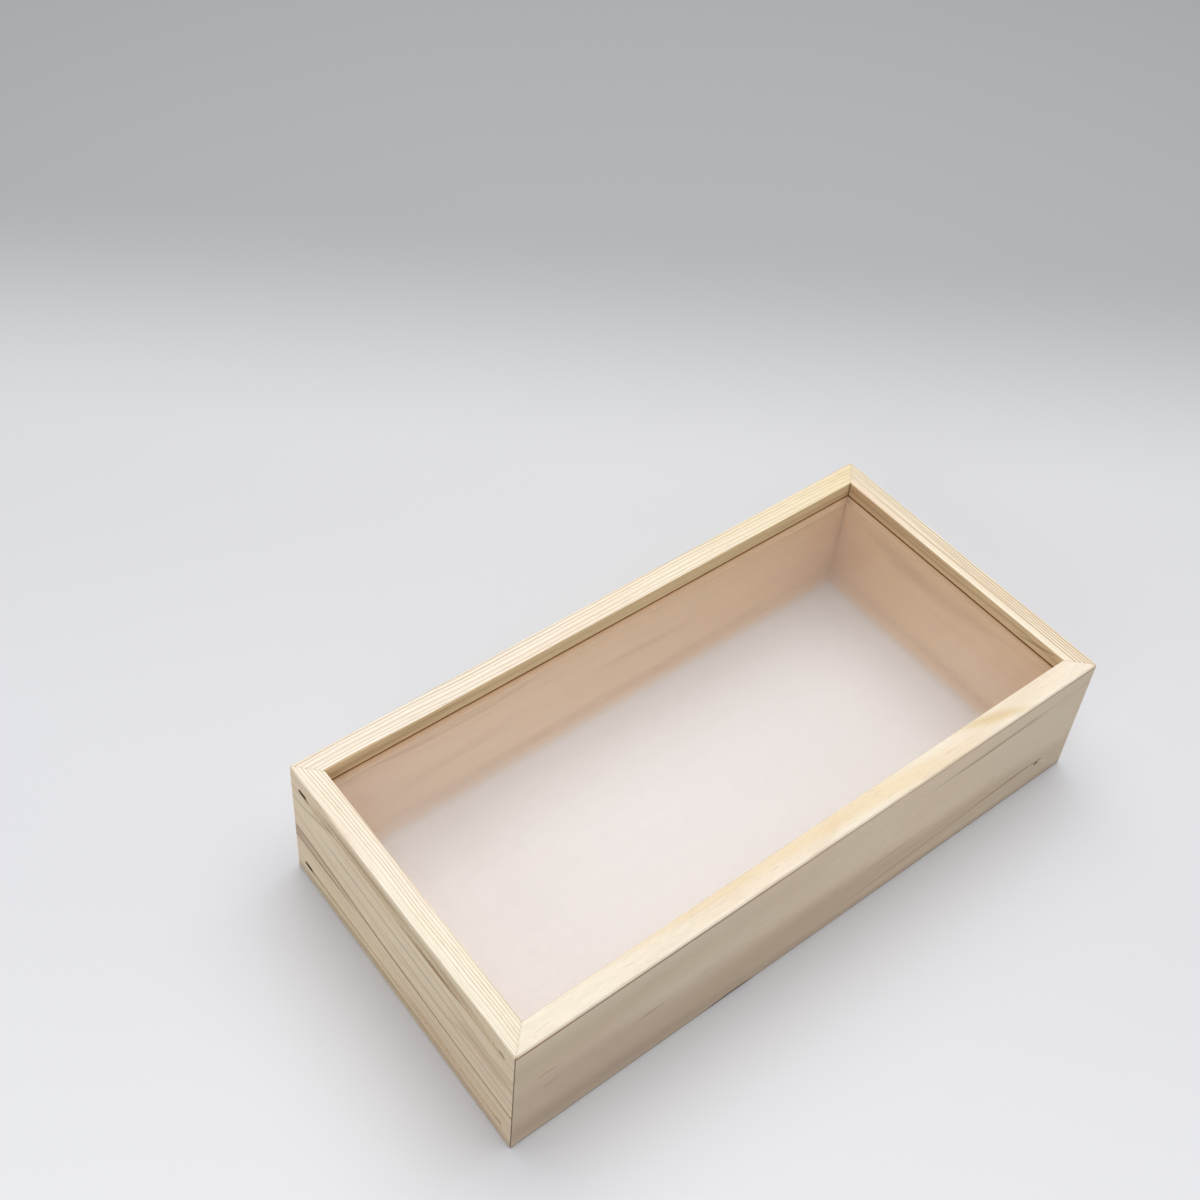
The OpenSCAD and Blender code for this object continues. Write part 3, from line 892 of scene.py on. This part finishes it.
# Cast acrylic sheets under protective polythene. The grooves' mouths are at |x| and |y| in m. Either side of
# a line near them the films carry a tan band of painted light, for lit wood over the groove's shaded floor,
# and either side of a second line just past them a dark brown band of painted shade, for the groove's gap.
paneLook = {
    "colour": "#FDFEFD",
    "ior": 1.49,
    "roughness": (0.12, 0.2),
    "frost": 0.8,
    # the rim's tan: painted light from the wood round the sawn edge
    "rim": "#EBCFA2",
}
filmLook = {
    "veil": "#F6EBE4",
    # the next two: the film's milk, with a painted sheen falling from near left to far right
    "milkAndSheenShare": (0.21, 0.07),
    "sheenFallReach": (-0.09, 0.15),
    "innerShare": 0.02,
    # the next two: painted light, a tan band over the groove's shaded floor
    "rubbed": "#DDBB98",
    "litBandShare": 0.72,
    # the next two: painted shade, a dark brown band in the groove's gap
    "mouthShade": "#A0591A",
    "mouthShadeShare": 0.92,
    "mouths": (0.140, 0.064),
    "litBandMiddle": -0.0002,
    "litBandReach": (0.0016, 0.0013),
    "litTanReach": 0.00145,
    "mouthShadeMiddle": 0.0005,
    "mouthShadeReach": 0.0005,
    "tint": "#FEFCFD",
    "ior": 1.5,
    "blur": 0.17,
    "shine": 0.3,
    "glint": (0.3, 0.05),
}


def clearAcrylic():
    # Cast sheet. Film wets its two faces, so only the rim glints; the rim was sawn, and its fine saw marks
    # scatter light like frost, whose tan is painted light from the wood round it. Rim = where the normal's z
    # is below 0.9, all of it below 0.6.
    material, tree = newMaterial("cast_acrylic_sheet")
    place = addNode(tree, "TexCoord").outputs["Object"]
    facing = addNode(tree, "NewGeometry")
    normal = addNode(tree, "SeparateXYZ", {0: facing.outputs["Normal"]})
    upright = addNode(tree, "Math", {0: normal.outputs["Z"]}, operation="ABSOLUTE")
    rim = addNode(tree, "MapRange", {"Value": upright, "From Min": 0.9, "From Max": 0.6})
    scratch = addNode(tree, "TexNoise", {"Vector": place, "Scale": 60.0, "Detail": 3.0})
    smooth, rubbed = paneLook["roughness"]
    rough = addNode(tree, "MapRange", {"Value": scratch, "To Min": smooth, "To Max": rubbed})
    through = addNode(tree, "BsdfTransparent", {"Color": linearColour(paneLook["colour"])})
    mirror = addNode(tree, "BsdfGlossy", {"Roughness": rough, "Color": (1, 1, 1, 1)})
    fresnel = addNode(tree, "Fresnel", {"IOR": paneLook["ior"]})
    glints = addNode(tree, "Math", {0: fresnel, 1: rim}, operation="MULTIPLY")
    share = addNode(tree, "Mix", {"Factor": facing.outputs["Backfacing"], "A": glints, "B": 0.0})
    sawPlace = addNode(tree, "Mapping", {"Vector": place, "Scale": (900, 900, 60)})
    saw = addNode(tree, "TexNoise", {"Vector": sawPlace, "Scale": 1.0, "Detail": 2.0})
    full = paneLook["frost"]
    frosted = addNode(tree, "MapRange", {
        "Value": saw, "From Min": 0.3, "From Max": 0.7, "To Min": full * 0.85, "To Max": full,
    })
    frost = addNode(tree, "BsdfDiffuse", {"Color": linearColour(paneLook["rim"])})
    frostShare = addNode(tree, "Math", {0: frosted, 1: rim}, operation="MULTIPLY")
    body = addNode(tree, "MixShader", {0: frostShare, 1: through, 2: frost})
    surface = addNode(tree, "MixShader", {0: share, 1: body, 2: mirror})
    addNode(tree, "OutputMaterial", {"Surface": surface})
    return material


def hazyFilm(outer):
    # Protective polythene film, drawn and slightly milky. Its outer face scatters what is behind it through a
    # few degrees and adds a pale veil; the face against the sheet is wetted and adds next to nothing.
    material, tree = newMaterial("milky_polythene_film_" + ("outer" if outer else "inner"))
    place = addNode(tree, "TexCoord").outputs["Object"]
    backfacing = addNode(tree, "NewGeometry").outputs["Backfacing"]
    drawn = addNode(tree, "Mapping", {"Vector": place, "Scale": (14, 160, 14)})
    streaks = addNode(tree, "TexNoise", {"Vector": drawn, "Scale": 1.0, "Detail": 4.0})
    # Milkier to the near left than to the far right: the milk is the film's own, its fall across the sheet a
    # painted sheen
    across = addNode(tree, "VectorMath", {0: place, 1: (0.8, 0.6, 0)}, operation="DOT_PRODUCT")
    near, far = filmLook["milkAndSheenShare"] if outer else (filmLook["innerShare"], filmLook["innerShare"])
    begins, ends = filmLook["sheenFallReach"]
    share = addNode(tree, "MapRange", {
        "Value": across.outputs["Value"], "From Min": begins, "From Max": ends, "To Min": near, "To Max": far,
    })
    level = addNode(tree, "MapRange", {
        "Value": streaks, "From Min": 0.3, "From Max": 0.7, "To Min": 0.9, "To Max": 1.1,
    })
    even = addNode(tree, "Math", {0: share, 1: level}, operation="MULTIPLY")
    # Beyond = max(|x| - mouth, |y| - mouth); painted light where beyond is within the band's reach of its
    # middle
    spot = addNode(tree, "SeparateXYZ", {0: place})
    past = []
    for axis, mouth in zip(("X", "Y"), filmLook["mouths"]):
        absolute = addNode(tree, "Math", {0: spot.outputs[axis]}, operation="ABSOLUTE")
        past.append(addNode(tree, "Math", {0: absolute, 1: mouth}, operation="SUBTRACT"))
    beyond = addNode(tree, "Math", {0: past[0], 1: past[1]}, operation="MAXIMUM")
    offBand = addNode(tree, "Math", {0: beyond, 1: -filmLook["litBandMiddle"]}, operation="ADD")
    fromBand = addNode(tree, "Math", {0: offBand}, operation="ABSOLUTE")
    begins, ends = filmLook["litBandReach"]
    litBand = addNode(tree, "MapRange", {
        "Value": fromBand, "From Min": begins, "From Max": ends, "To Max": filmLook["litBandShare"],
    })
    # Painted shade: a dark brown band in the groove's gap, on the outer films only
    window = {0: beyond, 1: filmLook["mouthShadeMiddle"], 2: filmLook["mouthShadeReach"]}
    inMouth = addNode(tree, "Math", window, operation="COMPARE")
    mouthShade = filmLook["mouthShadeShare"] if outer else 0.0
    mouthShadeLevel = addNode(tree, "Math", {0: inMouth, 1: mouthShade}, operation="MULTIPLY")
    edge = addNode(tree, "Math", {0: litBand, 1: mouthShadeLevel}, operation="MAXIMUM")
    milkAndPaintedBands = addNode(tree, "Math", {0: even, 1: edge}, operation="MAXIMUM")
    # Painted light: the tan colour of the band near the mouth
    atEdge = addNode(tree, "Math", {0: fromBand, 1: filmLook["litTanReach"]}, operation="LESS_THAN")
    colour = linearColour(filmLook["veil"])
    for amount, tint in ((atEdge, "rubbed"), (mouthShadeLevel, "mouthShade")):
        tinted = {0: amount, 6: colour, 7: linearColour(filmLook[tint])}
        colour = addNode(tree, "Mix", tinted, data_type="RGBA").outputs[2]
    frontMilk = addNode(tree, "Mix", {"Factor": backfacing, "A": milkAndPaintedBands, "B": 0.0})
    diffuse = addNode(tree, "BsdfDiffuse", {"Color": colour})
    if outer:
        through = addNode(tree, "BsdfRefraction", {
            "Color": linearColour(filmLook["tint"]), "IOR": filmLook["ior"], "Roughness": filmLook["blur"],
        })
    else:
        through = addNode(tree, "BsdfTransparent")
    body = addNode(tree, "MixShader", {0: frontMilk, 1: through, 2: diffuse})
    shine = addNode(tree, "BsdfGlossy", {"Color": (1, 1, 1, 1), "Roughness": filmLook["shine"]})
    fresnel = addNode(tree, "Fresnel", {"IOR": filmLook["ior"]})
    soft = addNode(tree, "Math", {0: fresnel, 1: filmLook["glint"][0 if outer else 1]}, operation="MULTIPLY")
    glint = addNode(tree, "Mix", {"Factor": backfacing, "A": soft, "B": 0.0})
    coated = addNode(tree, "MixShader", {0: glint, 1: body, 2: shine})
    rays = addNode(tree, "LightPath")
    either = {0: rays.outputs["Is Shadow Ray"], 1: rays.outputs["Is Diffuse Ray"]}
    lamps = addNode(tree, "Math", either, operation="MAXIMUM")
    letIn = addNode(tree, "BsdfTransparent", {"Color": (1, 1, 1, 1)})
    surface = addNode(tree, "MixShader", {0: lamps, 1: coated, 2: letIn})
    addNode(tree, "OutputMaterial", {"Surface": surface})
    return material


panes = {
    "left": -149.6,
    "right": 143.5,
    "side": 66.35,
    "corner": 4.0,
    "ease": 0.15,
    "thick": 2.0,
    "film": 0.1,
    "filmInset": 0.1,
    "filmEase": 0.01,
    "airGap": 0.015,
    "foot": {"top": 56.55, "bottom": 7.55},
    "cutSeed": {"top": 26, "bottom": 47},
    "cutWaver": (47.0, 0.06),  # longest wave, height
}


def makePane(side, acrylic, films):
    # Stack from the foot up: film, sheet, film, with a hair of air between so that no two faces coincide
    x0, x1, y1, gap = panes["left"], panes["right"], panes["side"], panes["airGap"]
    foot, film, thick, inset = panes["foot"][side], panes["film"], panes["thick"], panes["filmInset"]
    levels = [foot, foot + film, foot + film + thick, foot + thick + 2 * film]
    low, high = (x0, -y1, levels[1]), (x1, y1, levels[2])
    sheet = plate(side + "_acrylic", low, high, panes["corner"], panes["ease"])
    giveMaterial(sheet, acrylic)
    sheet.visible_shadow = False  # lamps reach the inside with nothing lost, as through so clear a stack
    place(sheet, side + "_pane", "panes", side + "_pane")
    lowKind, highKind = ("inner", "outer") if side == "top" else ("outer", "inner")
    for kind, z0, z1 in ((lowKind, levels[0], levels[1] - gap), (highKind, levels[2] + gap, levels[3])):
        low, high = (x0 + inset, -y1 + inset, z0), (x1 - inset, y1 - inset, z1)
        cut = (panes["cutSeed"][side], *panes["cutWaver"])
        layer = plate(f"{side}_{kind}_film", low, high, panes["corner"], panes["filmEase"], cut)
        giveMaterial(layer, films[kind])
        layer.visible_shadow = False
        place(layer, side + "_pane", "films", f"{side}_pane_{kind}_film")


acrylic = clearAcrylic()
films = {"outer": hazyFilm(True), "inner": hazyFilm(False)}
for side in ("top", "bottom"):
    makePane(side, acrylic, films)
print("panes finished")


steelLook = {
    "colour": "#B9BBBD",
    "roughness": (0.25, 0.45),
    "lineScale": 900.0,
}


def brightSteel():
    # Drawn wire, bright: fine lines vary its roughness
    material, tree = newMaterial("drawn_steel_wire")
    place = addNode(tree, "TexCoord").outputs["Object"]
    lines = addNode(tree, "TexNoise", {"Vector": place, "Scale": steelLook["lineScale"], "Detail": 2.0})
    smooth, drawn = steelLook["roughness"]
    rough = addNode(tree, "MapRange", {"Value": lines, "To Min": smooth, "To Max": drawn})
    surface = addNode(tree, "BsdfPrincipled", {
        "Roughness": rough, "Base Color": linearColour(steelLook["colour"]), "Metallic": 1.0,
    })
    addNode(tree, "OutputMaterial", {"Surface": surface})
    return material


steel = brightSteel()
for corner in ("front_left", "front_right", "back_left", "back_right"):
    giveMaterial(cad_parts[corner + "_pins"], steel)
print("pins finished")
